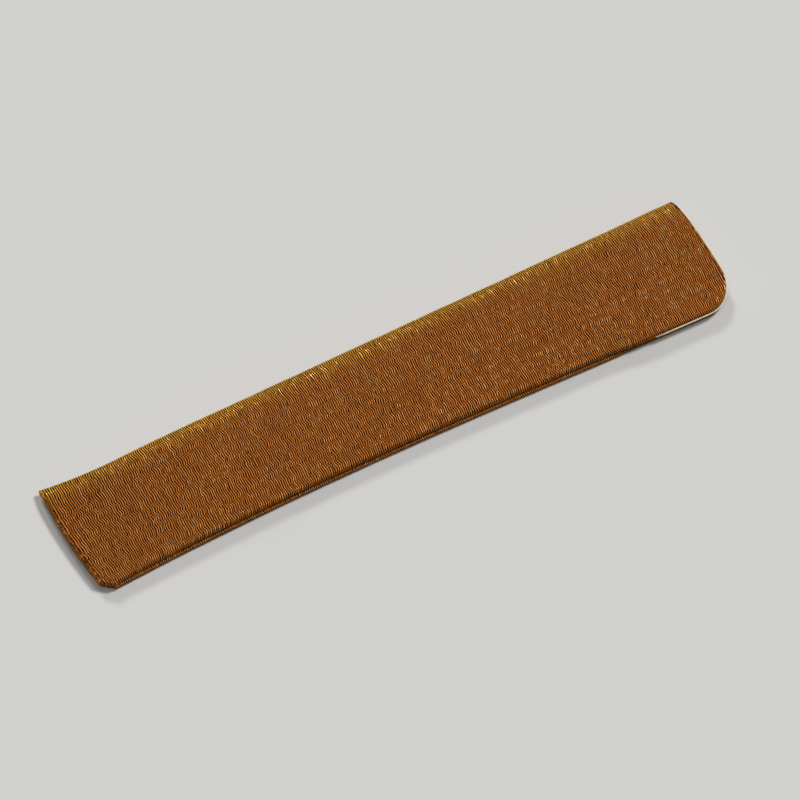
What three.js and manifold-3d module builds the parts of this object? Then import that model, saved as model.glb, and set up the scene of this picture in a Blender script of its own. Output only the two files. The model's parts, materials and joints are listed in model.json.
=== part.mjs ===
// A slim cloth sleeve for a closed folding fan, lying flat with its closed end at -X and its mouth at +X.
// Two felt-stiffened panels are one folded crepe cloth: the soft fold is the spine (+Y), the open edges
// (-Y) are sewn together up to a slit, and past the slit the front panel's corner can be lifted.
// Millimetres, +Z up. Layers are stacked from the outside in: crepe cover, felt, satin lining.
import * as THREE from "three";
import { mergeVertices } from "three/addons/utils/BufferGeometryUtils.js";
import Module from "manifold-3d";

// Plan of the sleeve. U runs along it from the closed end, V across it from the spine (0) to the seam (-).
const LENGTH = 225;
const WIDTHS = [
  [0, 39.8],
  [25, 38.8],
  [60, 38.0],
  [120, 38.9],
  [180, 41.1],
  [205, 42.2],
  [LENGTH, 42.7],
];
const LIP_RADIUS = 10.5; // the mouth's rounded corner on the seam side, along the sleeve
const LIP_DEPTH = 11.5; // and across it
const CHAMFER = 3.4; // the closed end's cut corner, on the seam side
const EAR = 2.4; // how far the flattened fold spreads at the closed end
const EAR_RUN = 25;
const END_BOW = 1.1; // how far the closed end curves outward
const END_LEAN = 0.056; // slope of the closed end across the sleeve
const MOUTH_BOW = 0.4;
const MOUTH_LEAN = 0.015;
const END_RUN = 30; // how far in from each end its lean and bow reach

// Section of the sleeve.
const COVER = 0.45;
const FELT = 0.55;
const LINING = 0.25;
const LAYER_GAP = 0.15;
const PANEL = COVER + FELT + LINING + 2 * LAYER_GAP;
const RIM = COVER; // the cover turned in round a panel's edges
const SEAM_HEIGHT = 2 * PANEL + 0.9; // both panels at the sewn edge, with the thread between them
const CROWN_HEIGHT = 7.5; // both panels where the empty pocket stands highest
const CROWN_RUN = 48; // how far from the closed end the pocket reaches its full height
const FOLD_RUN = 8; // how far the spine's roll reaches across the sleeve
const SPLIT_GAP = 0.2; // between a panel's solids and the spine's

// The line on which the front panel's corner bends, from the slit's end to the mouth's spine corner.
const SLIT_END = 176;
const BEND_MARGIN = 1.5; // how far that line keeps from the fold at the mouth
const BEND_GAP = 0.3;

const THREAD_RADIUS = 0.24;
const THREAD_INSET = 0.95; // from a sewn edge to the thread between the panels
const BARTACK = { along: 1.4, across: 0.45, high: 2.6 };

const STATIONS = 14; // cross-sections along the straight part of the sleeve
const CORNER_STATIONS = 8; // and round the mouth's corner
const ACROSS = 6;
const ROLL = 8;

const clamp = (x, low, high) => Math.min(high, Math.max(low, x));
const lerp = (a, b, t) => a + (b - a) * t;
const smooth = (t) => t * t * (3 - 2 * t);

const widthCurve = new THREE.SplineCurve(WIDTHS.map(([u, w]) => new THREE.Vector2(u, w)));

// The sleeve's width at u, before its corners are cut.
function width(u) {
  const points = widthCurve.getPoints(60);
  const next = points.findIndex((p) => p.x >= u);
  if (next <= 0) return points[next === 0 ? 0 : points.length - 1].y;
  const [a, b] = [points[next - 1], points[next]];
  return lerp(a.y, b.y, (u - a.x) / (b.x - a.x));
}

const cornerWidth = width(LENGTH - LIP_RADIUS);
const spineEdge = (u) => EAR * clamp(1 - u / EAR_RUN, 0, 1) ** 2;
const crownLine = (u) => spineEdge(u) - FOLD_RUN;

// The seam-side edge at u, moved inward by inset.
function seamEdge(u, inset) {
  const past = u - (LENGTH - LIP_RADIUS);
  if (past > 0) {
    const round = Math.sqrt(Math.max(0, 1 - (past / (LIP_RADIUS - inset)) ** 2));
    return -(cornerWidth - LIP_DEPTH) - (LIP_DEPTH - inset) * round;
  }
  const cut = Math.max(0, CHAMFER + inset * (Math.SQRT2 - 1) - u);
  return -width(u) + inset + cut;
}

// Where the point (u, v) of the squared-up plan lies on the real one, whose ends lean and bow.
function leaning(u, v) {
  const across = clamp(-v / width(0), 0, 1);
  const bulge = 4 * across * (1 - across);
  const nearClosed = smooth(clamp(1 - u / END_RUN, 0, 1));
  const nearMouth = smooth(clamp(1 - (LENGTH - u) / END_RUN, 0, 1));
  const closed = -END_LEAN * v - END_BOW * bulge;
  const mouth = MOUTH_LEAN * v + MOUTH_BOW * bulge;
  return u + closed * nearClosed + mouth * nearMouth;
}

// The height of the spine's fold, and of the front panel's outer face.
const crownHeight = (u) =>
  lerp(SEAM_HEIGHT, CROWN_HEIGHT, Math.sin((Math.PI / 2) * clamp(u / CROWN_RUN, 0, 1)));
function frontHeight(u, v) {
  const across = clamp((v + width(u)) / (crownLine(u) + width(u)), 0, 1);
  return lerp(SEAM_HEIGHT, crownHeight(u), Math.sin((Math.PI / 2) * across));
}

// The stations of a piece whose ends lie inset from the sleeve's.
function stations(inset) {
  const straight = LENGTH - LIP_RADIUS;
  const us = [inset, CHAMFER + inset * (Math.SQRT2 - 1)];
  for (let i = 1; i <= STATIONS; i++) us.push(lerp(CHAMFER + 1.5, straight, i / STATIONS));
  for (let i = 1; i <= CORNER_STATIONS; i++)
    us.push(straight + (LIP_RADIUS - inset) * Math.sin((i / CORNER_STATIONS) * (Math.PI / 2)));
  return us;
}

// A closed geometry through rings of the same number of points. A ring runs out along one face of a
// layer and back along the other, so each end is closed by quads from face to face, and both faces'
// quads are parted along the same diagonal, which keeps the gap between two layers even.
function loft(rings) {
  const count = rings[0].length;
  const index = [];
  const quad = (a, b, c, d) => index.push(a, b, c, a, c, d);
  for (let r = 0; r + 1 < rings.length; r++)
    for (let p = 0; p < count; p++) {
      const [here, next] = [r * count + p, (r + 1) * count + p];
      const step = p + 1 < count ? 1 : 1 - count;
      if (p < count / 2) quad(here, next, next + step, here + step);
      else quad(next, next + step, here + step, here);
    }
  const last = (rings.length - 1) * count;
  for (let p = 0; p + 1 < count / 2; p++) {
    const back = count - 1 - p;
    quad(p, p + 1, back - 1, back);
    quad(last + p, last + back, last + back - 1, last + p + 1);
  }
  const geometry = new THREE.BufferGeometry().setFromPoints(rings.flat());
  geometry.setIndex(index);
  return facingOut(geometry);
}

// The geometry with its faces turned outward.
function facingOut(geometry) {
  const { position } = geometry.attributes;
  const index = geometry.index.array;
  const [a, b, c] = [new THREE.Vector3(), new THREE.Vector3(), new THREE.Vector3()];
  let volume = 0;
  for (let i = 0; i < index.length; i += 3) {
    [a, b, c].forEach((corner, k) => corner.fromBufferAttribute(position, index[i + k]));
    volume += a.dot(b.cross(c));
  }
  if (volume < 0)
    for (let i = 0; i < index.length; i += 3) [index[i], index[i + 1]] = [index[i + 1], index[i]];
  return geometry;
}

// One layer of a panel, between two depths under its outer face. The crown side runs past by reach.
function panelLayer(face, inset, from, to, reach = -SPLIT_GAP) {
  const height = (u, v, depth) => (face === "front" ? frontHeight(u, v) - depth : depth);
  const rings = stations(inset).map((u) => {
    const [low, high] = [seamEdge(u, inset), crownLine(u) + reach];
    const point = (t, depth) => {
      const v = lerp(low, high, t);
      return new THREE.Vector3(leaning(u, v), v, height(u, v, depth));
    };
    const steps = Array.from({ length: ACROSS + 1 }, (_, i) => i / ACROSS);
    return [...steps.map((t) => point(t, from)), ...steps.reverse().map((t) => point(t, to))];
  });
  return loft(rings);
}

// One layer of the spine's fold. Its two long edges run past the crown line by reach.
function foldLayer(inset, from, to, reach = 0) {
  const rings = stations(inset).map((u) => {
    const half = crownHeight(u) / 2;
    const arc = (depth) => {
      const points = Array.from({ length: ROLL + 1 }, (_, i) => {
        const turn = (i / ROLL) * Math.PI;
        const v = crownLine(u) + (FOLD_RUN - depth) * Math.sin(turn);
        return [v, half + (half - depth) * Math.cos(turn)];
      });
      if (reach > 0) {
        points.unshift([points[0][0] - reach, points[0][1]]);
        points.push([points.at(-1)[0] - reach, points.at(-1)[1]]);
      }
      return points;
    };
    return [...arc(from), ...arc(to).reverse()].map(
      ([v, z]) => new THREE.Vector3(leaning(u, v), v, z),
    );
  });
  return loft(rings);
}

const wasm = await Module();
wasm.setup();

// The closed geometry as a solid that can be cut and joined, and back.
function solid(geometry) {
  const bare = geometry.clone();
  bare.deleteAttribute("normal");
  bare.deleteAttribute("uv");
  const merged = mergeVertices(bare, 1e-4);
  return new wasm.Manifold(
    new wasm.Mesh({
      numProp: 3,
      vertProperties: merged.attributes.position.array,
      triVerts: new Uint32Array(merged.index.array),
    }),
  );
}
function geometryOf(made) {
  const mesh = made.getMesh();
  const geometry = new THREE.BufferGeometry();
  geometry.setAttribute("position", new THREE.BufferAttribute(mesh.vertProperties, 3));
  geometry.setIndex(new THREE.BufferAttribute(mesh.triVerts, 1));
  geometry.computeVertexNormals();
  return geometry;
}

// The bend line, and the half of the plan on each side of it.
const bendStart = new THREE.Vector2(SLIT_END, -width(SLIT_END));
const bendEnd = new THREE.Vector2(LENGTH, crownLine(LENGTH) - BEND_MARGIN);
const bendAngle = bendEnd.clone().sub(bendStart).angle();
function sideOfBend(side) {
  const size = 3 * LENGTH;
  const box = new THREE.BoxGeometry(size, size, size);
  box.translate(0, side * (size / 2 + BEND_GAP / 2), 0);
  box.rotateZ(bendAngle);
  box.translate(bendStart.x, bendStart.y, 0);
  return solid(box);
}
const fixedSide = sideOfBend(1);
const lipSide = sideOfBend(-1);

const CLOTHS = {
  crepe: { color: 0x8a5a20, roughness: 0.55 },
  felt: { color: 0xd8d2c4, roughness: 0.95 },
  satin: { color: 0xd9c49a, roughness: 0.35 },
  thread: { color: 0x6b451a, roughness: 0.6 },
};
function piece(name, geometry, cloth) {
  const mesh = new THREE.Mesh(geometry, new THREE.MeshStandardMaterial(CLOTHS[cloth]));
  mesh.name = name;
  return mesh;
}

// The cover is a shallow tray: its edges turn in round the felt and end level with the lining.
const hollowTop = COVER;
const panelCover = (face) =>
  solid(panelLayer(face, 0, 0, PANEL)).subtract(
    solid(panelLayer(face, RIM, hollowTop, PANEL + 1, FOLD_RUN / 4)),
  );
const foldCover = () =>
  solid(foldLayer(0, 0, PANEL)).subtract(solid(foldLayer(RIM, hollowTop, PANEL + 0.3, 1)));

const feltFrom = COVER + LAYER_GAP;
const liningFrom = feltFrom + FELT + LAYER_GAP;
const innerEdge = RIM + LAYER_GAP;
const panelLayers = (face) => [
  ["cover", "crepe", panelCover(face)],
  ["felt", "felt", solid(panelLayer(face, innerEdge, feltFrom, feltFrom + FELT))],
  ["lining", "satin", solid(panelLayer(face, innerEdge, liningFrom, PANEL))],
];

// The back panel lies flat and is whole. The front panel is parted on the bend line.
function backPanel() {
  return panelLayers("back").map(([name, cloth, made]) =>
    piece(`back_${name}`, geometryOf(made), cloth),
  );
}
function frontPanel() {
  return panelLayers("front").flatMap(([name, cloth, made]) => [
    piece(`front_${name}`, geometryOf(made.intersect(fixedSide)), cloth),
    piece(`lip_${name}`, geometryOf(made.intersect(lipSide)), cloth),
  ]);
}
function spineFold() {
  return [
    piece("spine_cover", geometryOf(foldCover()), "crepe"),
    piece("spine_felt", foldLayer(innerEdge, feltFrom, feltFrom + FELT), "felt"),
    piece("spine_lining", foldLayer(innerEdge, liningFrom, PANEL), "satin"),
  ];
}

// A thread as a tube along a smooth route.
function thread(name, points) {
  const route = new THREE.CatmullRomCurve3(points);
  const section = new THREE.Shape().absarc(0, 0, THREAD_RADIUS, 0, 2 * Math.PI);
  const geometry = new THREE.ExtrudeGeometry(section, {
    extrudePath: route,
    steps: 2 * (points.length - 1),
    curveSegments: 3,
  });
  return piece(name, geometry, "thread");
}

// Between the panels' edges: along the seam side up to the slit, and across the closed end.
function seamThreads() {
  const middle = SEAM_HEIGHT / 2;
  const [sideSteps, endSteps] = [10, 5];
  const side = Array.from({ length: sideSteps + 1 }, (_, i) => {
    const u = lerp(CHAMFER + 3, SLIT_END - 2, i / sideSteps);
    const v = seamEdge(u, THREAD_INSET);
    return new THREE.Vector3(leaning(u, v), v, middle);
  });
  const end = Array.from({ length: endSteps + 1 }, (_, i) => {
    const v = lerp(crownLine(0) - 1, -width(0) + CHAMFER + 3, i / endSteps);
    return new THREE.Vector3(leaning(THREAD_INSET, v), v, middle);
  });
  return [thread("side_seam_thread", side), thread("end_seam_thread", end)];
}

// A bar of stitches over both edges, where the side seam stops and the slit starts.
function bartack() {
  const { along, across, high } = BARTACK;
  const geometry = new THREE.CapsuleGeometry(across, high - 2 * across, 3, 8);
  geometry.rotateX(Math.PI / 2);
  geometry.scale(along / (2 * across), 0.5, 1);
  const mesh = piece("slit_bartack", geometry, "thread");
  mesh.position.set(SLIT_END - 1, -width(SLIT_END - 1) - across / 2 - 0.1, SEAM_HEIGHT / 2);
  return mesh;
}

const sleeve = new THREE.Group();
sleeve.name = "fan_sleeve";
sleeve.add(...backPanel(), ...spineFold(), ...frontPanel(), ...seamThreads(), bartack());

// The origin is under the middle of the sleeve, on the surface that it lies on.
const bounds = new THREE.Box3().setFromObject(sleeve);
const middle = bounds.getCenter(new THREE.Vector3());
sleeve.position.set(-middle.x, -middle.y, -bounds.min.z);

export default sleeve;
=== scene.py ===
"""A slim crepe cloth sleeve for a closed folding fan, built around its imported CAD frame.

The two padded panels, their satin linings, the hand stitches and the stage each have an operator.
Sizes are in metres, in the frame of the CAD part: +X to the mouth, +Y to the spine's fold, +Z up.
"""

import json
import math

import bpy
import numpy as np
from mathutils import Matrix, Vector

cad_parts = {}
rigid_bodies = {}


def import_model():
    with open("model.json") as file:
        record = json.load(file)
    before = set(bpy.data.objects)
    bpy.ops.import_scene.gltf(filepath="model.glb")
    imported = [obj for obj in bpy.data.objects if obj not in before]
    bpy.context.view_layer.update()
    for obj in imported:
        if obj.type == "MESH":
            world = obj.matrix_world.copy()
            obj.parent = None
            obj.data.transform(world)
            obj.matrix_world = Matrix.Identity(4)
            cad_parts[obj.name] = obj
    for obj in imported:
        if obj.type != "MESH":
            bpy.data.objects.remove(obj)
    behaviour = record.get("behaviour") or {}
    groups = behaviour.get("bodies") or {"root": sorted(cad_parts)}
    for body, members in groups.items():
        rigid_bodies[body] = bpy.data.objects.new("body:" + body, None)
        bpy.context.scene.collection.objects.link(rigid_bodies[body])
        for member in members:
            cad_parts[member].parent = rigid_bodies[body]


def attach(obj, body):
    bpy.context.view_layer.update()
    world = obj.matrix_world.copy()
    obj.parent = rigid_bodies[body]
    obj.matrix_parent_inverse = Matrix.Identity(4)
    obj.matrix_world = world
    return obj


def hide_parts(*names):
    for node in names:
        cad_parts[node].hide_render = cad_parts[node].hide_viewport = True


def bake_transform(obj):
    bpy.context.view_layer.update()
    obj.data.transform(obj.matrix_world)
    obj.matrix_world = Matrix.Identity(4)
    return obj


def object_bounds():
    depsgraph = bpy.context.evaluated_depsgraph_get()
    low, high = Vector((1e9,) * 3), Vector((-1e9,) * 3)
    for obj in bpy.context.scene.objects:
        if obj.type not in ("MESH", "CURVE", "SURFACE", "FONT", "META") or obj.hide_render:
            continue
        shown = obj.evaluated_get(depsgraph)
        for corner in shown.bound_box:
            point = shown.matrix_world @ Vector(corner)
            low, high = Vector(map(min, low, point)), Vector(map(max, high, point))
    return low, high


bl_info = {
    "name": "Folding Fan Sleeve",
    "version": (1, 0, 0),
    "blender": (4, 5, 0),
    "location": "View3D > Sidebar > Fan Sleeve",
    "description": "Builds a crepe sleeve for a folding fan around its CAD frame",
    "category": "Object",
}

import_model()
CAD_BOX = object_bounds()
MM = 0.001
HALF_TURN = math.pi
QUARTER_TURN = math.pi / 2

# The sleeve's width at a few places along it, as in the CAD part.
WIDTH_PLACES = (0, 25, 60, 120, 180, 205, 225)
WIDTHS = (39.8, 38.8, 38.0, 38.9, 41.1, 42.2, 42.7)
WIDTH_DEGREE = 4
OUTLINE_POINTS = 400

# Panels. A run is how far from its start a change begins, and over how much it happens.
ROLL = 3.4  # how square the rolled edges are; they would be round at 2
END_LEAN = 0.056  # slope of the closed end across the sleeve
MOUTH_LEAN = 0.015
SEWN_RUN = (1 * MM, 6 * MM)  # of the front's step back, from the closed end
LIP_RUN = 14 * MM  # from the slit's start to where the lips lie fully apart
HEM_TAPER = (0.8, 0.5)  # a run in hems, over which the turned-in cover thins out
HEM_STEPS = (1.5, 2.3, 3.1, 3.9)  # columns over the hem, in millimetres from the edge
COVER_FADE = 0.6 * MM  # over which the turned-in cover's ribs end
EDGE_FADE = 0.3 * MM
ARC_SHARE = 0.78  # cloth used for each radian of the fold, in folds
RIM_STEPS = 5
OUTER_COLUMNS = 52
INNER_COLUMNS = 5
FOLD_COLUMNS = 18
INNER_FOLD_COLUMNS = 12
FRONT_EDGE_PAINTED_SHADE = 0.1  # painted shade: how far the rolled edges' walls are darkened
BACK_EDGE_PAINTED_SHADE = 0.8
FRONT_SEED, BACK_SEED = 11, 47

# Weave. A wobble is its size and the length of its cells along and across the sleeve.
RIB_PROFILE = (1.0, 0.0, 0.3)  # heights of the lines that make one rib
LINES_A_RIB = len(RIB_PROFILE)
RIB_MIDDLE = 0.5
FIRST_TURN = 0.25
TURN_DRIFT = (0.4, 8 * MM, 5 * MM)
TURN_JITTER = (0.2, 2 * MM, 1.5 * MM)
SWAY_MIDDLE = 0.9
SWAY_WOBBLE = (0.5, 4 * MM, 3 * MM)
SLOW_WOBBLE = (0.5 * MM, 30 * MM, 12 * MM)
RIB_WOBBLE = (0.07 * MM, 1, 1.1 * MM)  # its cells are whole ribs
FUZZ = (0.2, 0.35 * MM, 0.5 * MM)  # of the cloth's ends, which have no ribs
SWAY_FADE = 2.8 * MM
RIB_FADE = 1.3 * MM
RIB_START = 0.5  # in fades from an end
TURN_SHARPNESS = 2.5
TURN_DIP = 0.8  # how far a rib sinks where it turns
SLANTS = (0.9, 1.6)  # contrast of the dashes that lean one way and the other
DASH_WOBBLE = 0.55
MOUTH_GAIN = 0.6  # how much contrast grows toward the mouth
TALLEST = 1.15
HIDDEN_HEIGHT = 0.55  # where the cover is turned in and no ribs show
PAINTED_SHEEN_RUN = (-9.5 * MM, 8 * MM)  # painted sheen: where the golden ridges over the spine's fold set in, from the spine
PAINTED_SHEEN_END = (13 * MM, 5 * MM)

# Linings
LINING_ROWS = 96
LINING_COLUMNS = 14
LINING_FOLD_COLUMNS = 18
LINING = 0.14 * MM
LINING_GAP = 0.06 * MM
LINING_THINNEST = 0.02 * MM
END_SEAM = 4 * MM
BEAD = 0.3 * MM  # radius of a free edge's roll
BEAD_STEPS = 9
FLAT_STEPS = (0.8 * MM, 1.3 * MM)
SEWN_INSET = 3.0 * MM
FREE_INSET = (-0.5 * MM, 1.2 * MM)  # of the front and the back
FREE_RUN = (11 * MM, 9 * MM)  # from the slit's start
TUCK_RUN = 12 * MM

# Stitches. An arc is its radius and its angle.
STITCH_THREAD = 0.13 * MM
THREAD_SIDES = 8
STITCH_STEPS = 9
STITCH_ARC = (0.62 * MM, 2.6)
STITCH_LEAN = math.radians(24)
STITCH_INSET = 1.02  # in radii of the rolled edge
SIDE_STITCH = 2.8 * MM
SIDE_MARGINS = (5.5 * MM, 2 * MM)  # to the closed end and to the slit
END_STITCH = 2.6 * MM
END_MARGINS = (3 * MM, 6 * MM)  # to the spine and to the sewn edge
TACK_ARC = (1.2 * MM, 2.7)
TACK_LEAN = 0.06
TACK_INSET = 1.0 * MM
TACK_START = 0.6 * MM  # its middle, before the slit's start
TACK_WRAPS = np.arange(-2, 3) * 0.27 * MM

# Stage. A sun is its name, where it stands, its angle across and its power.
LOOKED_AT = (0.88, -1.61, 0)
SENSOR_WIDTH = 36
FLOOR_SIZE = 6
FLOOR_CELLS = 8
SUN_COLOUR = (1.0, 0.995, 0.985)
SUNS = (
    ("key", (0.87, 0.03, 1.0), 0.24, 1.8),
    ("behind", (0.15, 1.0, 0.6), 0.22, 1.15),
    ("near", (-0.3, -0.35, 1.0), 0.6, 0.45),
)
SKY_COLOUR = (0.93, 0.96, 1.0, 1)
SKY_STRENGTH = 0.12


def length_prop(name, description, default_mm):
    return bpy.props.FloatProperty(
        name=name, description=description, default=default_mm * MM, unit="LENGTH", precision=5
    )


def colour_prop(name, description, default):
    return bpy.props.FloatVectorProperty(
        name=name, description=description, default=default, subtype="COLOR", min=0, max=1
    )


class SleeveSizes(bpy.types.PropertyGroup):
    """The sleeve's plan and section."""

    length: length_prop("Length", "From the closed end to the mouth", 225)
    corner: length_prop("Corner Length", "The mouth's rounded corner, along the sleeve", 10.5)
    corner_depth: length_prop("Corner Depth", "The mouth's rounded corner, across the sleeve", 11.5)
    chamfer: length_prop("Cut Corner", "The closed end's cut corner", 3.4)
    ear: length_prop("Ear", "How far the flattened fold spreads at the closed end", 2.4)
    ear_run: length_prop("Ear Run", "How far along the fold the ear reaches", 25)
    end_bow: length_prop("End Bow", "How far the closed end curves outward", 1.1)
    mouth_bow: length_prop("Mouth Bow", "How far the mouth's edge curves outward", 0.4)
    end_run: length_prop("End Run", "How far in from an end its curve reaches", 30)
    seam_height: length_prop("Seam Height", "Both panels at the sewn edge", 3.5)
    crown_height: length_prop("Crown Height", "Both panels where the pocket stands highest", 7.5)
    crown_run: length_prop("Crown Run", "From the closed end to the full height", 48)
    fold: length_prop("Fold", "How far the spine's roll reaches across the sleeve", 8)
    pad: length_prop("Pad", "Cover and felt of one panel, away from its edges", 1.28)
    edge_pad: length_prop("Edge Pad", "Thickness of a panel's turned-in edge", 1.64)
    hem: length_prop("Hem", "How far the cover is turned in under a panel", 3.0)
    slit: length_prop("Slit", "From the closed end to the slit's start", 176)
    lip_rise: length_prop("Lip Rise", "How far the front lip stands off the back one", 0.5)
    set_back: length_prop("Set Back", "How far the front's sewn edge lies inside the back's", 0.75)
    overhang: length_prop("Overhang", "How far the front lip reaches past the back lip", 0.2)


class ClothSettings(bpy.types.PropertyGroup):
    """The crepe, satin and thread."""

    rib: length_prop("Rib", "Distance from rib to rib", 0.70)
    rib_depth: length_prop("Rib Depth", "Depth of the valleys between ribs", 0.3)
    wave: length_prop("Wave", "Length of one zigzag of a rib", 3.45)
    sway: length_prop("Sway", "How far a zigzag leaves the rib's line", 0.24)
    valley: colour_prop("Valley", "Shaded yarn between the ribs", (0.022, 0.004, 0.0004))
    ridge: colour_prop("Ridge", "Yarn on top of the ribs", (0.76, 0.240, 0.034))
    # Painted sheen: the ribs over the spine's fold, painted golden where the light grazes them.
    golden: colour_prop("Golden Ridge", "Ribs stretched over the spine", (0.90, 0.470, 0.030))
    # Painted highlight: golden filament on the ribs' tops, painted bright where it catches the light.
    glint: colour_prop("Glint", "Golden filament that catches the light", (0.95, 0.60, 0.22))
    satin: colour_prop("Satin", "Lining", (1.0, 0.92, 0.68))
    thread: colour_prop("Thread", "Sewing thread", (0.17, 0.075, 0.018))


class StageSettings(bpy.types.PropertyGroup):
    """The floor, light and camera."""

    elevation: bpy.props.FloatProperty(
        name="Elevation", description="Of the camera", default=math.radians(57.0), subtype="ANGLE"
    )
    turn: bpy.props.FloatProperty(
        name="Turn", description="Of the camera", default=math.radians(29.17), subtype="ANGLE"
    )
    distance: length_prop("Distance", "From the camera to what it looks at", 1088.8)
    lens: bpy.props.FloatProperty(
        name="Lens", description="Focal length", default=157.5, unit="CAMERA"
    )
    floor: colour_prop("Floor", "Pale table top", (0.75, 0.745, 0.73))


def smooth(t):
    """From 0 to 1 with soft ends, as t goes from 0 to 1."""
    t = np.clip(t, 0, 1)
    return t * t * (3 - 2 * t)


def blend(a, b, t):
    """From a to b, as t goes from 0 to 1."""
    return a + (b - a) * t


def noise(x, y, seed, size=256):
    """Smooth noise from -1 to 1 over a plane, one cell for each unit of x and y."""
    table = np.random.default_rng(seed).uniform(-1, 1, (size, size))
    i, j = np.floor(x).astype(int), np.floor(y).astype(int)
    u, v = smooth(x - i), smooth(y - j)

    def corner(a, b):
        return table[(i + a) % size, (j + b) % size]

    low = blend(corner(0, 0), corner(1, 0), u)
    high = blend(corner(0, 1), corner(1, 1), u)
    return blend(low, high, v)


def wobble(u, v, shape, seed):
    """Smooth noise over the sleeve, from its size and the lengths of its cells."""
    size, along, across = shape
    return size * noise(u / along, v / across, seed)


def zigzag(turn):
    """From -1 to 1 and back for each whole turn."""
    return 4 * np.abs(turn - np.floor(turn + 0.5)) - 1


class Plan:
    """The sleeve's shape. u runs along it from the closed end, v across it from the spine (0) to the
    seam (-), both in metres, on a plan whose ends are straight; place() gives them their curve."""

    def __init__(self, sizes):
        self.s = sizes
        places, widths = np.array(WIDTH_PLACES) * MM, np.array(WIDTHS) * MM
        self.curve = np.polynomial.Polynomial.fit(places, widths, WIDTH_DEGREE)
        self.corner_start = sizes.length - sizes.corner
        self.round = sizes.edge_pad / 2
        u, v = self.outline()
        low, high = (np.array(corner) for corner in CAD_BOX)
        self.shift = np.zeros(2)
        at = self.place(u, v)
        middle = (at.min(0) + at.max(0)) / 2
        self.shift = (low + high)[:2] / 2 - middle

    def width(self, u):
        return self.curve(u)

    def spine(self, u):
        return self.s.ear * np.clip(1 - u / self.s.ear_run, 0, 1) ** 2

    def crown(self, u):
        return self.spine(u) - self.s.fold

    def seam(self, u, inset=0.0):
        """v of the seam-side edge at u, moved inward by inset."""
        s = self.s
        cut = np.maximum(0, s.chamfer + inset * (math.sqrt(2) - 1) - u)
        straight = -self.width(u) + inset + cut
        past = (u - self.corner_start) / (s.corner - inset)
        arc = np.sqrt(np.maximum(0, 1 - np.maximum(past, 0) ** 2))
        corner = -(self.width(self.corner_start) - s.corner_depth) - (s.corner_depth - inset) * arc
        return np.where(past > 0, corner, straight)

    def outline(self):
        u = np.linspace(0, self.s.length, OUTLINE_POINTS)
        return np.concatenate([u, u]), np.concatenate([self.spine(u), self.seam(u)])

    def place(self, u, v):
        """x and y of a point of the plan."""
        s = self.s
        across = np.clip(-v / self.width(0.0), 0, 1)
        bulge = 4 * across * (1 - across)
        near_closed = smooth(1 - u / s.end_run)
        near_mouth = smooth(1 - (s.length - u) / s.end_run)
        closed = -END_LEAN * v - s.end_bow * bulge
        mouth = MOUTH_LEAN * v + s.mouth_bow * bulge
        x = u + closed * near_closed + mouth * near_mouth
        return np.stack([x, v], -1) + self.shift

    def end_distance(self, u):
        """How far u lies from the nearer end."""
        return np.minimum(u, self.s.length - u)

    def edge_distance(self, u, v, spine_side=False):
        """How far a point lies inside the panels' three free edges."""
        s = self.s
        ends = self.end_distance(u)
        if spine_side:
            return ends
        side = v + self.width(u)
        cut = (u + v + self.width(s.chamfer) - s.chamfer) / math.sqrt(2)
        centre = -(self.width(self.corner_start) - s.corner_depth)
        along, across = (u - self.corner_start) / s.corner, (centre - v) / s.corner_depth
        ring = (1 - np.hypot(along, across)) * (s.corner + s.corner_depth) / 2
        inside = np.minimum(np.minimum(ends, side), cut)
        return np.where((along > 0) & (across > 0), ring, inside)

    def set_back(self, u, front):
        """How far a panel's seam edge lies inside the outline. The back shows beyond the front where
        they are sewn, and the front's lip hangs over the back's."""
        start, run = SEWN_RUN
        sewn = self.s.set_back * smooth((u - start) / run) * (1 - self.lip(u))
        return sewn if front else self.s.overhang * self.lip(u)

    def lip(self, u):
        """How far past the slit's start u is, from 0 to 1."""
        return smooth((u - self.s.slit) / LIP_RUN)

    def crown_height(self, u):
        """Of the pocket over the spine's roll, which is low at the closed end."""
        s = self.s
        risen = np.sin(QUARTER_TURN * np.clip(u / s.crown_run, 0, 1))
        return blend(s.seam_height, s.crown_height, risen)

    def front_height(self, u, v):
        """Of the front panel's outer face."""
        s = self.s
        across = np.clip((v + self.width(u)) / (self.crown(u) + self.width(u)), 0, 1)
        edge = s.seam_height + s.lip_rise * self.lip(u)
        return blend(edge, self.crown_height(u), np.sin(QUARTER_TURN * across))

    def rim(self, distance):
        """How far the rolled edge falls away from the outer face."""
        left = self.round - np.minimum(distance, self.round)
        return self.round * (1 - np.maximum(0, 1 - (left / self.round) ** ROLL) ** (1 / ROLL))

    def thickness(self, distance):
        """Of a padded panel, which is thicker where its cover is turned in."""
        s = self.s
        start, run = HEM_TAPER
        return blend(s.edge_pad, s.pad, smooth((distance - s.hem * start) / (s.hem * run)))


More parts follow.
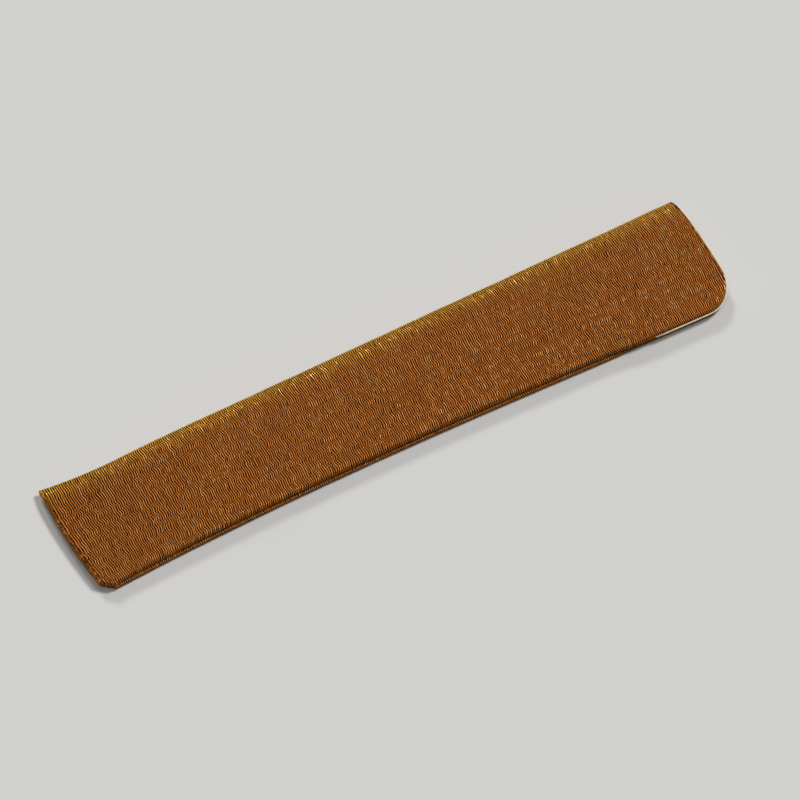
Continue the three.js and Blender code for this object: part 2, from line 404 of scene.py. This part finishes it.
class Weave:
    """The crepe's ribs, which run across the sleeve in a zigzag."""

    def __init__(self, plan, cloth):
        self.plan, self.c = plan, cloth
        turn = np.linspace(FIRST_TURN, QUARTER_TURN, RIM_STEPS + 1)
        roll = plan.round * (1 - np.cos(turn))
        inner = plan.s.length - 2 * plan.round
        count = round(inner / cloth.rib) * LINES_A_RIB
        body = plan.round + inner * np.arange(1, count) / count
        self.lines = np.concatenate([roll, body, (plan.s.length - roll)[::-1]])
        phase = np.arange(1, count) % LINES_A_RIB
        profile = np.array(RIB_PROFILE)[phase]
        edge = np.full(len(roll), RIB_MIDDLE)
        self.profile = np.concatenate([edge, profile, edge])[:, None]
        self.number = np.maximum(np.arange(len(self.lines)) - len(roll), 0)[:, None] // LINES_A_RIB

    def turn(self, u, v, seed):
        """How many zigzags lie between the spine and (u, v)."""
        drift = wobble(u, v, TURN_DRIFT, seed)
        return v / self.c.wave + drift + wobble(u, v, TURN_JITTER, seed + 1)

    def dash(self, u, v, seed, own_seed):
        """A number from -1 to 1 for each dash, which is the part of a rib between two of its turns."""
        return noise(self.number + 0 * u, np.floor(2 * self.turn(u, v, seed)), own_seed)

    def features(self, u, v, seed, cover, shade=0.0):
        """The yarn's height, and what the crepe's material reads: a number for each dash, which sets its
        tone and its painted glint, how much painted sheen lies on the ribs over the spine's fold, and the
        height, which closes up where the cover is turned in and is lowered by shade to paint shade on the
        rolled edges."""
        height = self.height(u, v, seed)
        gold = 0.5 + 0.5 * self.dash(u, v, seed, seed + 5)
        # Painted sheen over the spine's fold, where the light grazes the ribs.
        (start, run), (end, fade) = PAINTED_SHEEN_RUN, PAINTED_SHEEN_END
        spine = smooth((v - start) / run) * smooth((end - v) / fade)
        # shade lowers the height the material reads, which paints shade and leaves the ribs' relief alone
        shown = blend(HIDDEN_HEIGHT, height, cover) * (1 - shade)
        return height, np.stack([gold, spine, shown], -1)

    def sway(self, u, v, seed):
        """How far a rib leaves its straight line at (u, v)."""
        size = SWAY_MIDDLE + wobble(u, v, SWAY_WOBBLE, seed + 2)
        slow = wobble(u, v, SLOW_WOBBLE, seed + 3)
        own = wobble(self.number, v, RIB_WOBBLE, seed + 7)
        ends = smooth(self.plan.end_distance(u) / SWAY_FADE)
        return (self.c.sway * size * zigzag(self.turn(u, v, seed)) + slow + own) * ends

    def height(self, u, v, seed):
        """Of the yarn at (u, v), 0 in a valley and about 1 on a rib. A rib dips where it turns."""
        turn = self.turn(u, v, seed)
        bend = np.abs(zigzag(turn)) ** TURN_SHARPNESS
        own = self.dash(u, v, seed, seed + 4)
        slant = blend(*SLANTS, np.floor(2 * turn) % 2)
        grown = 1 + MOUTH_GAIN * u / self.plan.s.length
        contrast = (1 - TURN_DIP * bend) * (slant + DASH_WOBBLE * own) * grown
        plain = RIB_MIDDLE + wobble(u, v, FUZZ, seed + 6)
        ends = smooth(self.plan.end_distance(u) / RIB_FADE - RIB_START)
        ribbed = RIB_MIDDLE + (self.profile - RIB_MIDDLE) * contrast
        return np.clip(blend(plain, ribbed, ends), 0, TALLEST)


def fresh_selection():
    """Nothing selected."""
    for other in bpy.context.view_layer.objects:
        other.select_set(False)


def face_normals(points):
    """Unit normals of a grid of points, from its rows (+X) and columns (round the piece)."""
    normal = np.cross(np.gradient(points, axis=0), np.gradient(points, axis=1))
    size = np.linalg.norm(normal, axis=-1, keepdims=True)
    return normal / np.maximum(size, 1e-12)


def end_faces(first, second, order):
    """Triangles between two chains of vertices that run side by side, order giving their places."""
    faces = []
    i, j = 0, 0
    while i < len(first) - 1 or j < len(second) - 1:
        if j == len(second) - 1 or (i < len(first) - 1 and order[first[i + 1]] < order[second[j + 1]]):
            faces.append((first[i], first[i + 1], second[j]))
            i += 1
        else:
            faces.append((first[i], second[j + 1], second[j]))
            j += 1
    return faces


def skin(name, outer, inner, features=None):
    """A closed skin round two faces, each a grid of points, rows along the sleeve and columns from
    the seam's edge inward. Both ends are closed by a strip between the two faces."""
    points = np.concatenate([outer, inner[:, ::-1]], 1)
    rows, columns = points.shape[:2]
    index = np.arange(rows * columns).reshape(rows, columns)
    beside = np.roll(index, -1, axis=1)
    quads = np.stack([index[:-1], index[1:], beside[1:], beside[:-1]], -1).reshape(-1, 4)
    flat = points.reshape(-1, 3)
    faces = quads.tolist()
    for row in (0, rows - 1):
        first = index[row, : outer.shape[1]].tolist()
        second = index[row, outer.shape[1] :][::-1].tolist()
        order = {}
        for chain in (first, second):
            steps = np.linalg.norm(np.diff(flat[chain], axis=0), axis=1)
            run = np.concatenate([[0], np.cumsum(steps)])
            order.update(zip(chain, run / run[-1]))
        faces += end_faces(first, second, order)
    mesh = bpy.data.meshes.new(name)
    mesh.from_pydata(flat.tolist(), [], faces)
    if features is not None:
        layer = mesh.attributes.new("cloth", "FLOAT_VECTOR", "POINT")
        joined = np.concatenate([features[0], features[1][:, ::-1]], 1)
        layer.data.foreach_set("vector", joined.reshape(-1).astype(np.float32))
    piece = bpy.data.objects.new(name, mesh)
    bpy.context.scene.collection.objects.link(piece)
    fresh_selection()
    piece.select_set(True)
    bpy.context.view_layer.objects.active = piece
    bpy.ops.object.mode_set(mode="EDIT")
    bpy.ops.mesh.select_all(action="SELECT")
    bpy.ops.mesh.remove_doubles(threshold=4e-6)
    bpy.ops.mesh.normals_make_consistent(inside=False)
    bpy.ops.object.mode_set(mode="OBJECT")
    bpy.ops.object.shade_smooth()
    return piece


class Panel:
    """One padded panel: its plan, its weave and a seed of its own for the weave's drift."""

    def __init__(self, plan, weave, seed, front):
        self.plan, self.weave, self.seed, self.front = plan, weave, seed, front

    def set_back(self, u):
        """How far this panel's seam edge lies inside the sleeve's outline."""
        return self.plan.set_back(u, self.front)

    def columns(self, inner):
        """Of one face: how far inside the edge each starts, and its share of the way to the crown."""
        turn = np.linspace(0, QUARTER_TURN, RIM_STEPS + 1)
        insets = self.plan.round * (1 - np.cos(turn))
        count = OUTER_COLUMNS
        if inner:
            insets = np.concatenate([insets[1:], np.array(HEM_STEPS) * MM])
            count = INNER_COLUMNS
        shares = np.concatenate([0 * insets, np.arange(1, count + 1) / count])
        return np.concatenate([insets, np.full(count, insets[-1])])[None, :], shares[None, :]

    def flat(self, inner):
        """u and v over one face, rows by columns."""
        insets, shares = self.columns(inner)
        straight = self.weave.lines[:, None] + 0 * shares

        def across(u):
            edge = self.plan.seam(u, insets) + self.set_back(u)
            return blend(edge, self.plan.crown(u), shares)

        u = straight + self.weave.sway(straight, across(straight), self.seed)
        return u, across(u)

    def pressed(self, u, v, points, turned):
        """The points with the ribs pressed into the face, and what the crepe's material reads, with
        painted shade on the rolled edges' walls.
        """
        # Painted shade on the walls of the rolled edges, the back's darkest, growing where they turn
        # under.
        shade = FRONT_EDGE_PAINTED_SHADE if self.front else BACK_EDGE_PAINTED_SHADE
        height, features = self.weave.features(u, v, self.seed, 1.0, shade * turned)
        depth = self.weave.c.rib_depth * (1 - height)
        return points - face_normals(points) * depth[..., None], features

    def outer_face(self):
        """u, v and points of the side that shows, and how far it is turned under at its edges."""
        u, v = self.flat(inner=False)
        below = self.plan.rim(self.plan.edge_distance(u, v - self.set_back(u)))
        z = self.plan.front_height(u, v) - below if self.front else below
        points = np.dstack([self.plan.place(u, v), z])
        return u, v, points, (below / self.plan.round) ** 2

    def inner_face(self):
        """The felt's side, where the turned-in cover shows its ribs along the edges."""
        plan = self.plan
        u, v = self.flat(inner=True)
        distance = plan.edge_distance(u, v - self.set_back(u))
        depth = plan.thickness(distance) - plan.rim(distance)
        cover = smooth(1 - (distance - plan.s.hem) / COVER_FADE) * smooth(distance / EDGE_FADE)
        height, features = self.weave.features(u, v, self.seed, cover)
        pressed = depth - self.weave.c.rib_depth * (1 - height) * cover
        z = plan.front_height(u, v) - pressed if self.front else pressed
        return np.dstack([plan.place(u, v), z]), features

    def fold(self, columns, inner):
        """Over the spine, from the crown round to the back."""
        plan = self.plan
        turn = np.linspace(0, HALF_TURN, columns + 1)[None, 1:]
        straight = self.weave.lines[:, None] + 0 * turn
        arc = -plan.s.fold + ARC_SHARE * plan.s.fold * turn + 0 * straight
        u = straight + self.weave.sway(straight, arc, self.seed)
        distance = plan.edge_distance(u, arc, spine_side=True)
        depth = plan.thickness(distance) - plan.rim(distance) if inner else plan.rim(distance)
        half = plan.crown_height(u) / 2
        v = plan.crown(u) + (plan.s.fold - depth) * np.sin(turn)
        z = half + (half - depth) * np.cos(turn)
        return u, arc, np.dstack([plan.place(u, v), z])


def front_piece(plan, weave):
    """The front panel and the fold that carries it round to the back."""
    panel = Panel(plan, weave, FRONT_SEED, front=True)
    u, v, top, turned = panel.outer_face()
    fold_u, arc, fold = panel.fold(FOLD_COLUMNS, inner=False)
    points = np.concatenate([top, fold], 1)
    turned = np.hstack([turned, 0 * arc])
    outer, outer_features = panel.pressed(np.hstack([u, fold_u]), np.hstack([v, arc]), points, turned)
    under, under_features = panel.inner_face()
    inner_u, inner_arc, inner_fold = panel.fold(INNER_FOLD_COLUMNS, inner=True)
    _, fold_features = weave.features(inner_u, inner_arc, panel.seed, 0.0)
    inner = np.concatenate([under, inner_fold], 1)
    inner_features = np.concatenate([under_features, fold_features], 1)
    return skin("front_panel", outer, inner, (outer_features, inner_features))


def back_piece(plan, weave):
    """The back panel, whose outer face looks down."""
    panel = Panel(plan, weave, BACK_SEED, front=False)
    u, v, bottom, turned = panel.outer_face()
    flipped, features = panel.pressed(u[:, ::-1], v[:, ::-1], bottom[:, ::-1], turned[:, ::-1])
    inner, inner_features = panel.inner_face()
    return skin("back_panel", flipped[:, ::-1], inner, (features[:, ::-1], inner_features))


def free_share(plan, u):
    """How far a lining's edge is free of the seam at u, from 0 to 1."""
    start, run = FREE_RUN
    return smooth((u - plan.s.slit - start) / run)


def lining_grid(plan, free_inset, front):
    """u, v, edge distance and inset of a lining, whose edge shows along the lips and the mouth."""
    rim = BEAD * (1 - np.cos(np.linspace(0, HALF_TURN, BEAD_STEPS)))
    ends = plan.s.length - free_inset - rim
    body = np.linspace(END_SEAM, ends[-1], LINING_ROWS)[:-1]
    rows = np.concatenate([body, ends[::-1]])[:, None]
    steps = np.concatenate([rim, FLAT_STEPS])
    columns = np.arange(1, LINING_COLUMNS + 1) / LINING_COLUMNS
    shares = np.concatenate([0 * steps, columns])[None, :]
    steps = np.concatenate([steps, np.full(LINING_COLUMNS, steps[-1])])[None, :]
    inset = blend(SEWN_INSET, free_inset, free_share(plan, rows))
    set_back = plan.set_back(rows, front)
    v = blend(plan.seam(rows, inset + steps) + set_back, plan.crown(rows), shares)
    u = rows + 0 * v
    return u, v, plan.edge_distance(u, v - set_back), inset + 0 * v


def half_lining(plan, u, distance, inset):
    """Half the satin's thickness, which swells into a rolled bead along a free edge."""
    bead = blend(LINING / 2, BEAD, free_share(plan, u))
    past = np.clip(distance - inset, 0, 2 * bead)
    roll = np.sqrt(np.maximum(0, bead**2 - (past - bead) ** 2))
    body = LINING / 2 * np.sqrt(smooth((distance - inset) / (2 * bead)))
    return np.maximum(roll, np.maximum(body, LINING_THINNEST))


def lining_piece(plan, name, front):
    """One satin lining. The front's goes on round the spine to meet the back's."""
    free_inset = FREE_INSET[0] if front else FREE_INSET[1]
    u, v, distance, inset = lining_grid(plan, free_inset, front)
    half = half_lining(plan, u, distance, inset)
    depth = plan.thickness(distance) - plan.rim(distance) + LINING_GAP + half
    middle = plan.front_height(u, v) - depth if front else depth
    place = plan.place(u, v)
    near, far = np.dstack([place, middle + half]), np.dstack([place, middle - half])
    if not front:
        return skin(name, near, far)
    turn = np.linspace(0, HALF_TURN, LINING_FOLD_COLUMNS + 1)[None, 1:]
    tucked = smooth(turn / HALF_TURN) * (FREE_INSET[1] - free_inset)
    rows = u[:, :1]
    rows = rows - tucked * smooth(1 - (plan.s.length - rows) / TUCK_RUN)
    spine_distance = plan.edge_distance(rows, 0 * rows, spine_side=True)
    thickness = plan.thickness(spine_distance) - plan.rim(spine_distance) + LINING_GAP
    spine_half = half_lining(plan, rows, spine_distance, free_inset + tucked)
    faces = []
    for side in (0, 2):
        reach = thickness + spine_half * side
        crown = plan.crown_height(rows) / 2
        fold_v = plan.crown(rows) + (plan.s.fold - reach) * np.sin(turn)
        fold_z = crown + (crown - reach) * np.cos(turn)
        faces.append(np.dstack([plan.place(rows, fold_v), fold_z]))
    return skin(name, np.hstack([near, faces[0]]), np.hstack([far, faces[1]]))


def stitch(name, radius, angle):
    """One arc of thread: a round spun about an axis, with both its ends closed."""
    fresh_selection()
    bpy.ops.mesh.primitive_circle_add(
        vertices=THREAD_SIDES,
        radius=STITCH_THREAD,
        fill_type="NGON",
        location=(radius, 0, 0),
        rotation=(QUARTER_TURN, 0, 0),
    )
    piece = bpy.context.object
    piece.name = piece.data.name = name
    bpy.ops.object.transform_apply(location=True, rotation=True, scale=True)
    bpy.ops.object.mode_set(mode="EDIT")
    bpy.ops.mesh.select_all(action="SELECT")
    bpy.ops.transform.rotate(value=angle / 2, orient_axis="Z", center_override=(0, 0, 0))
    bpy.ops.mesh.spin(steps=STITCH_STEPS, angle=angle, center=(0, 0, 0), axis=(0, 0, 1))
    bpy.ops.mesh.select_all(action="SELECT")
    bpy.ops.mesh.remove_doubles(threshold=1e-6)
    bpy.ops.mesh.normals_make_consistent(inside=False)
    bpy.ops.object.mode_set(mode="OBJECT")
    low = np.mean([math.atan2(v.co.y, v.co.x) for v in piece.data.vertices])
    piece.data.transform(Matrix.Rotation(-low, 4, "Z"))
    bpy.ops.object.shade_smooth()
    return piece


def stitched(name, one, places):
    """Copies of one stitch, each moved by a matrix, joined as one piece."""
    copies = []
    for place in places:
        copy = bpy.data.objects.new(name, one.data.copy())
        copy.data.transform(place)
        bpy.context.scene.collection.objects.link(copy)
        copies.append(copy)
    fresh_selection()
    for copy in copies:
        copy.select_set(True)
    bpy.context.view_layer.objects.active = copies[0]
    bpy.ops.object.join()
    bpy.data.objects.remove(one)
    piece = bpy.context.object
    piece.name = piece.data.name = name
    return piece


def stitch_place(plan, u, v, outward, height, slant):
    """A stitch's matrix: its arc stands upright in the outward direction and leans by slant."""
    x, y = plan.place(np.array(u), np.array(v))
    out = Vector((math.cos(outward), math.sin(outward), 0))
    up = Matrix.Rotation(slant, 3, out) @ Vector((0, 0, 1))
    side = out.cross(up)
    turned = Matrix((out, up, side)).transposed().to_4x4()
    return Matrix.Translation((float(x), float(y), height)) @ turned


class Value:
    """A shader socket that can be used in a Python expression."""

    def __init__(self, tree, socket):
        self.tree, self.socket = tree, socket

    def maths(self, operation, other, swapped=False):
        pair = (other, self) if swapped else (self, other)
        return node(self.tree, "ShaderNodeMath", {"operation": operation}, {0: pair[0], 1: pair[1]})

    def __add__(self, other):
        return self.maths("ADD", other)

    def __sub__(self, other):
        return self.maths("SUBTRACT", other)

    def __mul__(self, other):
        return self.maths("MULTIPLY", other)

    def __rsub__(self, other):
        return self.maths("SUBTRACT", other, swapped=True)

    __radd__ = __add__
    __rmul__ = __mul__


def node(tree, kind, settings, inputs, output=0):
    """One shader node: its settings first, then the values or links of its sockets."""
    made = tree.nodes.new(kind)
    for key, value in settings.items():
        setattr(made, key, value)
    for key, value in inputs.items():
        socket = made.inputs[key]
        if isinstance(value, Value):
            tree.links.new(value.socket, socket)
        else:
            socket.default_value = value
    return Value(tree, made.outputs[output])


def ramp(value, low, high):
    """0 below low, 1 above high, and smooth between them."""
    settings = {"interpolation_type": "SMOOTHSTEP"}
    inputs = {"Value": value, "From Min": low, "From Max": high}
    return node(value.tree, "ShaderNodeMapRange", settings, inputs)


def mix(tree, share, first, second):
    """A colour between two colours."""
    return node(tree, "ShaderNodeMix", {"data_type": "RGBA"}, {0: share, 6: first, 7: second}, 2)


def speckle(tree, where, scale, detail=1.0, rough=0.5):
    """Noise about 0.5."""
    inputs = {"Vector": where, "Scale": scale, "Detail": detail, "Roughness": rough}
    return node(tree, "ShaderNodeTexNoise", {}, inputs)


def stretched(tree, where, scale):
    """Coordinates on which a pattern is drawn out."""
    return node(tree, "ShaderNodeMapping", {}, {"Vector": where, "Scale": scale})


def new_material(name):
    """A material, its node tree and the object's coordinates in it."""
    material = bpy.data.materials.new(name)
    material.use_nodes = True
    tree = material.node_tree
    return material, tree, node(tree, "ShaderNodeTexCoord", {}, {}, "Object")


def relief(tree, height, strength, depth):
    """The surface's normal, bumped by height."""
    inputs = {"Height": height, "Strength": strength, "Distance": depth}
    return node(tree, "ShaderNodeBump", {}, inputs)


def surface(tree, links, constants):
    """Sets the Principled shader's sockets."""
    shader = tree.nodes["Principled BSDF"]
    for key, value in links.items():
        tree.links.new(value.socket, shader.inputs[key])
    for key, value in constants.items():
        shader.inputs[key].default_value = value


def solid(colour, share=1.0):
    """A colour with its alpha, darkened to a share of itself."""
    return (*(share * part for part in colour), 1.0)


def crepe_material(cloth):
    """Wool-brown crepe whose twisted ribs are shot with a golden filament. Its colour holds painted shade
    in the valleys and on the rolled edges, painted sheen over the spine's fold and painted highlights
    where the filament glints on the ribs' tops.
    """
    material, tree, where = new_material("golden_brown_crepe")
    woven = node(tree, "ShaderNodeAttribute", {"attribute_name": "cloth"}, {}, "Vector")
    gold, spine, height = (
        node(tree, "ShaderNodeSeparateXYZ", {}, {0: woven}, part) for part in range(3)
    )
    grain = speckle(tree, where, scale=2600.0, detail=2.0, rough=0.6)
    patch = speckle(tree, where, scale=90.0, detail=2.0)
    yarn = speckle(tree, stretched(tree, where, (1.0, 0.5, 1.0)), scale=2300.0)
    tone = height * (0.8 + 0.4 * grain) * (0.85 + 0.1 * patch + 0.2 * gold)
    # Painted sheen: the ridges turn golden over the spine's fold.
    ridge = mix(tree, spine * 0.75, solid(cloth.ridge), solid(cloth.golden))
    # Painted shade: the valleys between the ribs are painted near black, the ridges in the crepe's own
    # colour.
    base = mix(tree, ramp(tone, 0.3, 0.85), solid(cloth.valley), ridge)
    # Painted highlight: bright golden glints on the tops of some dashes, which are also smoother and more
    # metallic.
    glint = ramp(gold * 0.6 + yarn * 0.8, 0.8, 1.0) * ramp(height, 0.5, 0.9)
    colour = mix(tree, glint * 0.6, base, solid(cloth.glint))
    links = {
        "Base Color": colour,
        "Roughness": 0.6 - 0.25 * glint,
        "Metallic": 0.3 + 0.1 * glint,
        "Normal": relief(tree, grain + yarn, strength=0.5, depth=0.06 * MM),
    }
    constants = {
        "Sheen Weight": 1.0,
        "Sheen Roughness": 0.25,
        "Sheen Tint": (1.0, 0.88, 0.3, 1),
        "Specular IOR Level": 0.08,
    }
    surface(tree, links, constants)
    return material


def satin_material(cloth):
    """Cream gold satin, smooth along its thread, with painted shade of creases in patches of noise."""
    material, tree, where = new_material("cream_satin")
    thread = speckle(tree, stretched(tree, where, (0.15, 1.0, 1.0)), scale=3200.0)
    crease = speckle(tree, where, scale=260.0, detail=2.0)
    share = ramp(crease * 0.6 + thread * 0.4, 0.3, 0.7)
    # Painted shade: the satin darkens to a shaded copy of itself in patches of noise, as in creases.
    colour = mix(tree, share, solid(cloth.satin, 0.72), solid(cloth.satin))
    bump = relief(tree, thread, strength=0.3, depth=0.04 * MM)
    links = {"Base Color": colour, "Roughness": 0.2 + 0.15 * crease, "Normal": bump}
    surface(tree, links, {"Sheen Weight": 0.6, "Anisotropic": 0.4, "Specular IOR Level": 0.9})
    return material


def thread_material(cloth):
    """Twisted brown sewing thread."""
    material, tree, where = new_material("brown_thread")
    twist = speckle(tree, where, scale=4200.0)
    colour = mix(tree, ramp(twist, 0.35, 0.65), solid(cloth.thread, 0.5), solid(cloth.thread))
    bump = relief(tree, twist, strength=0.4, depth=0.04 * MM)
    surface(tree, {"Base Color": colour, "Roughness": 0.6 - 0.15 * twist, "Normal": bump}, {})
    return material


def floor_material(stage):
    """Matte white board with the faintest mottle."""
    material, tree, where = new_material("pale_board")
    mottle = speckle(tree, where, scale=24.0, detail=3.0)
    colour = mix(tree, mottle, solid(stage.floor, 0.965), solid(stage.floor))
    surface(tree, {"Base Color": colour}, {"Roughness": 0.85, "Specular IOR Level": 0.2})
    return material


def wear(piece, material):
    """Gives a piece its material."""
    piece.data.materials.clear()
    piece.data.materials.append(material)
    return piece


def shared_material(make, cloth, name):
    """The material of that name, made if no other piece wears it yet."""
    return bpy.data.materials.get(name) or make(cloth)


def bends_with_lip(piece):
    """Bakes a piece's transform into its mesh."""
    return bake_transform(piece)


def plan_and_cloth(context):
    """The scene's plan and cloth settings."""
    scene = context.scene
    return Plan(scene.fan_sleeve), scene.fan_sleeve_cloth


class SleeveOperator:
    """What all the sleeve's operators share."""

    bl_options = {"REGISTER", "UNDO"}


class FAN_SLEEVE_OT_front_panel(SleeveOperator, bpy.types.Operator):
    """Front panel of crepe over felt, with the spine's fold in one piece with it"""

    bl_idname = "fan_sleeve.front_panel"
    bl_label = "Front Panel"

    def execute(self, context):
        plan, cloth = plan_and_cloth(context)
        piece = front_piece(plan, Weave(plan, cloth))
        wear(piece, shared_material(crepe_material, cloth, "golden_brown_crepe"))
        bends_with_lip(piece)
        nodes = ("front_cover", "front_felt", "lip_cover", "lip_felt", "spine_cover", "spine_felt")
        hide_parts(*nodes)
        return {"FINISHED"}


class FAN_SLEEVE_OT_back_panel(SleeveOperator, bpy.types.Operator):
    """Back panel of crepe over felt, which the sleeve rests on"""

    bl_idname = "fan_sleeve.back_panel"
    bl_label = "Back Panel"

    def execute(self, context):
        plan, cloth = plan_and_cloth(context)
        piece = back_piece(plan, Weave(plan, cloth))
        wear(piece, shared_material(crepe_material, cloth, "golden_brown_crepe"))
        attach(piece, "sleeve")
        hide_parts("back_cover", "back_felt")
        return {"FINISHED"}


class FAN_SLEEVE_OT_linings(SleeveOperator, bpy.types.Operator):
    """Satin linings of the pocket, whose rolled edge shows along the lips and the mouth"""

    bl_idname = "fan_sleeve.linings"
    bl_label = "Linings"

    def execute(self, context):
        plan, cloth = plan_and_cloth(context)
        satin = shared_material(satin_material, cloth, "cream_satin")
        front = wear(lining_piece(plan, "front_satin", front=True), satin)
        bends_with_lip(front)
        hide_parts("front_lining", "lip_lining", "spine_lining")
        back = wear(lining_piece(plan, "back_satin", front=False), satin)
        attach(back, "sleeve")
        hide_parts("back_lining")
        return {"FINISHED"}


class FAN_SLEEVE_OT_stitches(SleeveOperator, bpy.types.Operator):
    """Slip stitches that close the side and the end, and the bar tack that stops the slit"""

    bl_idname = "fan_sleeve.stitches"
    bl_label = "Stitches"

    def execute(self, context):
        plan, cloth = plan_and_cloth(context)
        thread = shared_material(thread_material, cloth, "brown_thread")
        down, middle = -QUARTER_TURN, plan.s.seam_height / 2
        inset = plan.round * STITCH_INSET
        first, last = SIDE_MARGINS
        places = [
            stitch_place(plan, u, plan.seam(u, inset), down, middle, STITCH_LEAN)
            for u in np.arange(first, plan.s.slit - last, SIDE_STITCH)
        ]
        side = stitched("side_stitches", stitch("side_stitch", *STITCH_ARC), places)
        first, last = END_MARGINS
        places = [
            stitch_place(plan, inset, -v, HALF_TURN, middle, STITCH_LEAN)
            for v in np.arange(first, plan.width(0.0) - last, END_STITCH)
        ]
        end = stitched("end_stitches", stitch("end_stitch", *STITCH_ARC), places)
        places = [
            stitch_place(plan, u, plan.seam(u, TACK_INSET), down, middle, TACK_LEAN)
            for u in plan.s.slit - TACK_START + TACK_WRAPS
        ]
        tack = stitched("slit_tack", stitch("tack_wrap", *TACK_ARC), places)
        pairs = ((side, "side_seam_thread"), (end, "end_seam_thread"), (tack, "slit_bartack"))
        for piece, cad_node in pairs:
            wear(piece, thread)
            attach(piece, "sleeve")
            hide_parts(cad_node)
        return {"FINISHED"}


class FAN_SLEEVE_OT_stage(SleeveOperator, bpy.types.Operator):
    """Pale floor, soft light and the camera"""

    bl_idname = "fan_sleeve.stage"
    bl_label = "Stage"

    def execute(self, context):
        stage = context.scene.fan_sleeve_stage
        fresh_selection()
        bpy.ops.mesh.primitive_grid_add(
            x_subdivisions=FLOOR_CELLS, y_subdivisions=FLOOR_CELLS, size=FLOOR_SIZE, location=(0, 0, 0)
        )
        floor = bpy.context.object
        floor.name = floor.data.name = "floor"
        floor.data.materials.append(floor_material(stage))
        away, level = math.sin(stage.elevation), math.cos(stage.elevation)
        looking = Vector((math.sin(stage.turn) * level, math.cos(stage.turn) * level, -away))
        target = Vector(LOOKED_AT) * MM
        bpy.ops.object.camera_add(location=target - looking * stage.distance)
        camera = bpy.context.object
        camera.rotation_euler = looking.to_track_quat("-Z", "Y").to_euler()
        camera.data.lens, camera.data.sensor_width = stage.lens, SENSOR_WIDTH
        context.scene.camera = camera
        for name, place, size, power in SUNS:
            bpy.ops.object.light_add(type="SUN", location=place)
            light = bpy.context.object
            light.name = name
            light.data.energy, light.data.angle = power, size
            light.data.color = SUN_COLOUR
            light.rotation_euler = (-Vector(place)).to_track_quat("-Z", "Y").to_euler()
        world = bpy.data.worlds.new("soft_room")
        world.use_nodes = True
        background = world.node_tree.nodes["Background"]
        background.inputs["Color"].default_value = SKY_COLOUR
        background.inputs["Strength"].default_value = SKY_STRENGTH
        context.scene.world = world
        context.scene.view_settings.view_transform = "Standard"
        return {"FINISHED"}


class VIEW3D_PT_fan_sleeve(bpy.types.Panel):
    """The sleeve's sizes and colours, and the operators that build it"""

    bl_label = "Fan Sleeve"
    bl_space_type = "VIEW_3D"
    bl_region_type = "UI"
    bl_category = "Fan Sleeve"

    def draw(self, context):
        layout, scene = self.layout, context.scene
        for group in (scene.fan_sleeve, scene.fan_sleeve_cloth, scene.fan_sleeve_stage):
            box = layout.box()
            for name in type(group).__annotations__:
                box.prop(group, name)
        for operator in OPERATORS:
            layout.operator(operator.bl_idname)


OPERATORS = (
    FAN_SLEEVE_OT_front_panel,
    FAN_SLEEVE_OT_back_panel,
    FAN_SLEEVE_OT_linings,
    FAN_SLEEVE_OT_stitches,
    FAN_SLEEVE_OT_stage,
)
CLASSES = (SleeveSizes, ClothSettings, StageSettings, *OPERATORS, VIEW3D_PT_fan_sleeve)


def register():
    """Makes the classes and the scene's settings known."""
    for each in CLASSES:
        bpy.utils.register_class(each)
    bpy.types.Scene.fan_sleeve = bpy.props.PointerProperty(type=SleeveSizes)
    bpy.types.Scene.fan_sleeve_cloth = bpy.props.PointerProperty(type=ClothSettings)
    bpy.types.Scene.fan_sleeve_stage = bpy.props.PointerProperty(type=StageSettings)


def unregister():
    del bpy.types.Scene.fan_sleeve_stage
    del bpy.types.Scene.fan_sleeve_cloth
    del bpy.types.Scene.fan_sleeve
    for each in reversed(CLASSES):
        bpy.utils.unregister_class(each)


def main():
    register()
    bpy.ops.fan_sleeve.front_panel()
    bpy.ops.fan_sleeve.back_panel()
    bpy.ops.fan_sleeve.linings()
    bpy.ops.fan_sleeve.stitches()
    bpy.ops.fan_sleeve.stage()


if __name__ == "__main__":
    main()
